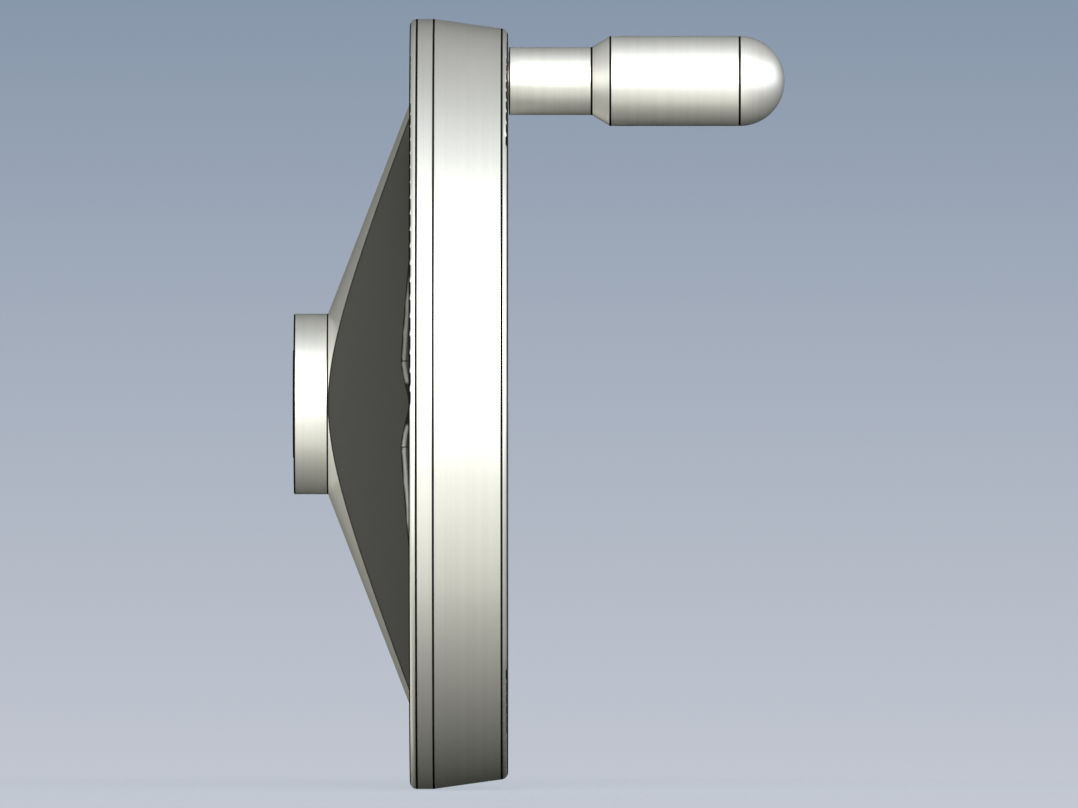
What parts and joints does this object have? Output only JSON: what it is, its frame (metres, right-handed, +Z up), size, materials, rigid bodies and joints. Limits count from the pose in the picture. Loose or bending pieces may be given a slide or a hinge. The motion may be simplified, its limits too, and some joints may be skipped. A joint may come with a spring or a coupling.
{
  "type": "machine handwheel",
  "caption": "Dished two-spoke handwheel in cast aluminium with a keyed steel hub bush and a revolving machine handle with a domed end.",
  "frame": {"origin": "on the shaft axis at the back face of the hub bush, where a shaft's shoulder seats", "axes": "-Y along the shaft towards the operator and the grip's end, +Z up from the shaft axis through the grip's axis, +X towards the keyway and the set screw"},
  "size_m": [0.16, 0.1022, 0.16],
  "materials": {
    "wheel_casting": "fine turned on the rim and hub, as cast and painted grey on the spokes",
    "hub_steel": "faced steel",
    "black_screw": "black oxide",
    "plated_steel": "bright zinc plate",
    "bearing_bronze": "sintered bronze, oiled",
    "grip_metal": "fine turned and polished"
  },
  "bodies": {
    "wheel": {"wheel_body": "wheel_casting", "hub_bush": "hub_steel", "set_screw": "black_screw", "thread_insert": "plated_steel", "grip_axle": "plated_steel", "head_washer": "plated_steel"},
    "grip": {"grip_sleeve": "grip_metal", "grip_end_cap": "grip_metal", "inner_bearing": "bearing_bronze", "outer_bearing": "bearing_bronze"}
  },
  "joints": [
    {"name": "grip_spin", "type": "hinge", "parent": "wheel", "child": "grip", "pos_m": [0, -0.0727, 0.0671], "axis": [0, -1, 0], "continuous": true}
  ]
}
